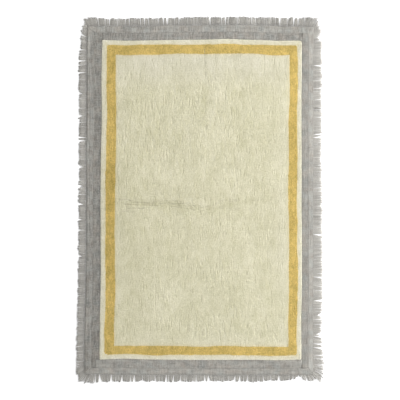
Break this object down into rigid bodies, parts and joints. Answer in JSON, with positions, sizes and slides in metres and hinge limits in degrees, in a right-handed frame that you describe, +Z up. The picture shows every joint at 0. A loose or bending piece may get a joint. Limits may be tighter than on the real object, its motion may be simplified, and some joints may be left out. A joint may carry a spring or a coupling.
{
  "type": "kids cotton rug",
  "caption": "Flat rectangular cotton rug: a cut pile panel with a contrast line, a woven grey border round it, and a fringe of cut yarn on every side.",
  "frame": {"origin": "on the floor, under the middle of the rug's outline with its fringe", "axes": "+Z up from the floor, +Y along the long side, +X along the short side"},
  "size_m": [1.21, 1.8164, 0.0131],
  "materials": {
    "pile_cream": "matt cut cotton pile",
    "pile_mustard": "matt cut cotton pile",
    "border_weave": "plain woven slub cotton",
    "fringe_yarn": "soft twisted cotton yarn"
  },
  "bodies": {
    "root": {"pile_panel": "pile_cream", "border_bottom": "border_weave", "border_right": "border_weave", "border_top": "border_weave", "border_left": "border_weave", "fringe_bottom": "fringe_yarn", "fringe_right": "fringe_yarn", "fringe_top": "fringe_yarn", "fringe_left": "fringe_yarn"}
  },
  "joints": []
}
